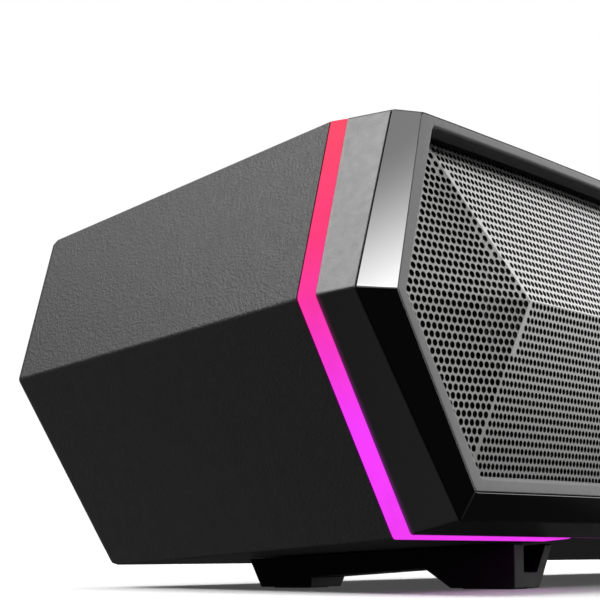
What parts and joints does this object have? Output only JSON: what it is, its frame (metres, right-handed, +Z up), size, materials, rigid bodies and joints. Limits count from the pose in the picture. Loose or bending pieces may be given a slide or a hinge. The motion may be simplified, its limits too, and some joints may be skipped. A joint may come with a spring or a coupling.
{
  "type": "desktop soundbar",
  "caption": "Long faceted desktop speaker bar with a hipped perforated grille, glossy chamfered bezel, lit strip round each end, top buttons, rear sockets and splayed feet.",
  "frame": {"origin": "on the desk, under the middle of the whole bar", "axes": "+X along the bar to the listener's right, -Y out of the front towards the listener, +Z up"},
  "size_m": [0.3998, 0.1146, 0.0957],
  "materials": {
    "satin_black": "fine-textured matte",
    "collar_grey": "smooth satin",
    "gloss_black": "mirror gloss",
    "frame_grey": "smooth satin",
    "grille_steel": "perforated sheet with a satin coat",
    "light": "diffusing, lit from inside: coral red at the top to magenta at the bottom",
    "foot_black": "matte",
    "rubber": "matte",
    "dark_plastic": "matte",
    "dark_steel": "satin",
    "cone_black": "matte, pressed paper",
    "copper": "enamelled wire",
    "board_green": "solder mask",
    "aluminium": "bare",
    "can": "sleeved",
    "button_black": "matte",
    "screw_steel": "blackened"
  },
  "bodies": {
    "bar": {"amplifier_chip": "dark_plastic", "audio_socket": "dark_plastic", "baffle": "dark_plastic", "bezel": "gloss_black", "button_board": "board_green", "capacitor_left": "can", "capacitor_right": "can", "driver_basket_left": "dark_steel", "driver_basket_right": "dark_steel", "driver_magnet_left": "dark_steel", "driver_magnet_right": "dark_steel", "driver_surround_left": "rubber", "driver_surround_right": "rubber", "foot_left": "foot_black", "foot_right": "foot_black", "front_collar": "collar_grey", "front_frame": "frame_grey", "grille": "grille_steel", "heat_sink": "aluminium", "led_strip_left": "board_green", "led_strip_right": "board_green", "light_ring_left": "light", "light_ring_right": "light", "main_board": "board_green", "pad_front_left": "rubber", "pad_front_right": "rubber", "pad_rear_left": "rubber", "pad_rear_right": "rubber", "port_panel": "dark_plastic", "power_socket": "dark_plastic", "radiator_surround": "rubber", "rear_housing": "satin_black", "screw_baffle_high_left": "screw_steel", "screw_baffle_high_right": "screw_steel", "screw_baffle_low_left": "screw_steel", "screw_baffle_low_right": "screw_steel", "screw_board_left": "screw_steel", "screw_board_right": "screw_steel", "screw_buttons_left": "screw_steel", "screw_buttons_right": "screw_steel", "screw_foot_front_left": "screw_steel", "screw_foot_front_right": "screw_steel", "screw_foot_rear_left": "screw_steel", "screw_foot_rear_right": "screw_steel", "screw_panel_left": "screw_steel", "screw_panel_right": "screw_steel", "usb_socket": "aluminium"},
    "button_power": {"button_power": "button_black"},
    "button_volume_down": {"button_volume_down": "button_black"},
    "button_source": {"button_source": "button_black"},
    "button_volume_up": {"button_volume_up": "button_black"},
    "button_light": {"button_light": "button_black"},
    "cone_left": {"driver_cone_left": "cone_black", "driver_cap_left": "cone_black", "voice_coil_left": "copper"},
    "cone_right": {"driver_cone_right": "cone_black", "driver_cap_right": "cone_black", "voice_coil_right": "copper"},
    "radiator": {"radiator_disc": "cone_black"}
  },
  "joints": [
    {"name": "power_press", "type": "slide", "parent": "bar", "child": "button_power", "axis": [0, -0.1858, -0.9826], "range_m": [0, 0.0006], "stiffness_N_per_m": 300, "springref_m": -0.0004},
    {"name": "volume_down_press", "type": "slide", "parent": "bar", "child": "button_volume_down", "axis": [0, -0.1858, -0.9826], "range_m": [0, 0.0006], "stiffness_N_per_m": 300, "springref_m": -0.0004},
    {"name": "source_press", "type": "slide", "parent": "bar", "child": "button_source", "axis": [0, -0.1858, -0.9826], "range_m": [0, 0.0006], "stiffness_N_per_m": 300, "springref_m": -0.0004},
    {"name": "volume_up_press", "type": "slide", "parent": "bar", "child": "button_volume_up", "axis": [0, -0.1858, -0.9826], "range_m": [0, 0.0006], "stiffness_N_per_m": 300, "springref_m": -0.0004},
    {"name": "light_press", "type": "slide", "parent": "bar", "child": "button_light", "axis": [0, -0.1858, -0.9826], "range_m": [0, 0.0006], "stiffness_N_per_m": 300, "springref_m": -0.0004},
    {"name": "cone_left_excursion", "type": "slide", "parent": "bar", "child": "cone_left", "axis": [0, -0.9931, 0.1175], "range_m": [-0.001, 0.001], "stiffness_N_per_m": 1200},
    {"name": "cone_right_excursion", "type": "slide", "parent": "bar", "child": "cone_right", "axis": [0, -0.9931, 0.1175], "range_m": [-0.001, 0.001], "stiffness_N_per_m": 1200},
    {"name": "radiator_excursion", "type": "slide", "parent": "bar", "child": "radiator", "axis": [0, -0.9931, 0.1175], "range_m": [-0.0015, 0.0015], "stiffness_N_per_m": 900}
  ]
}
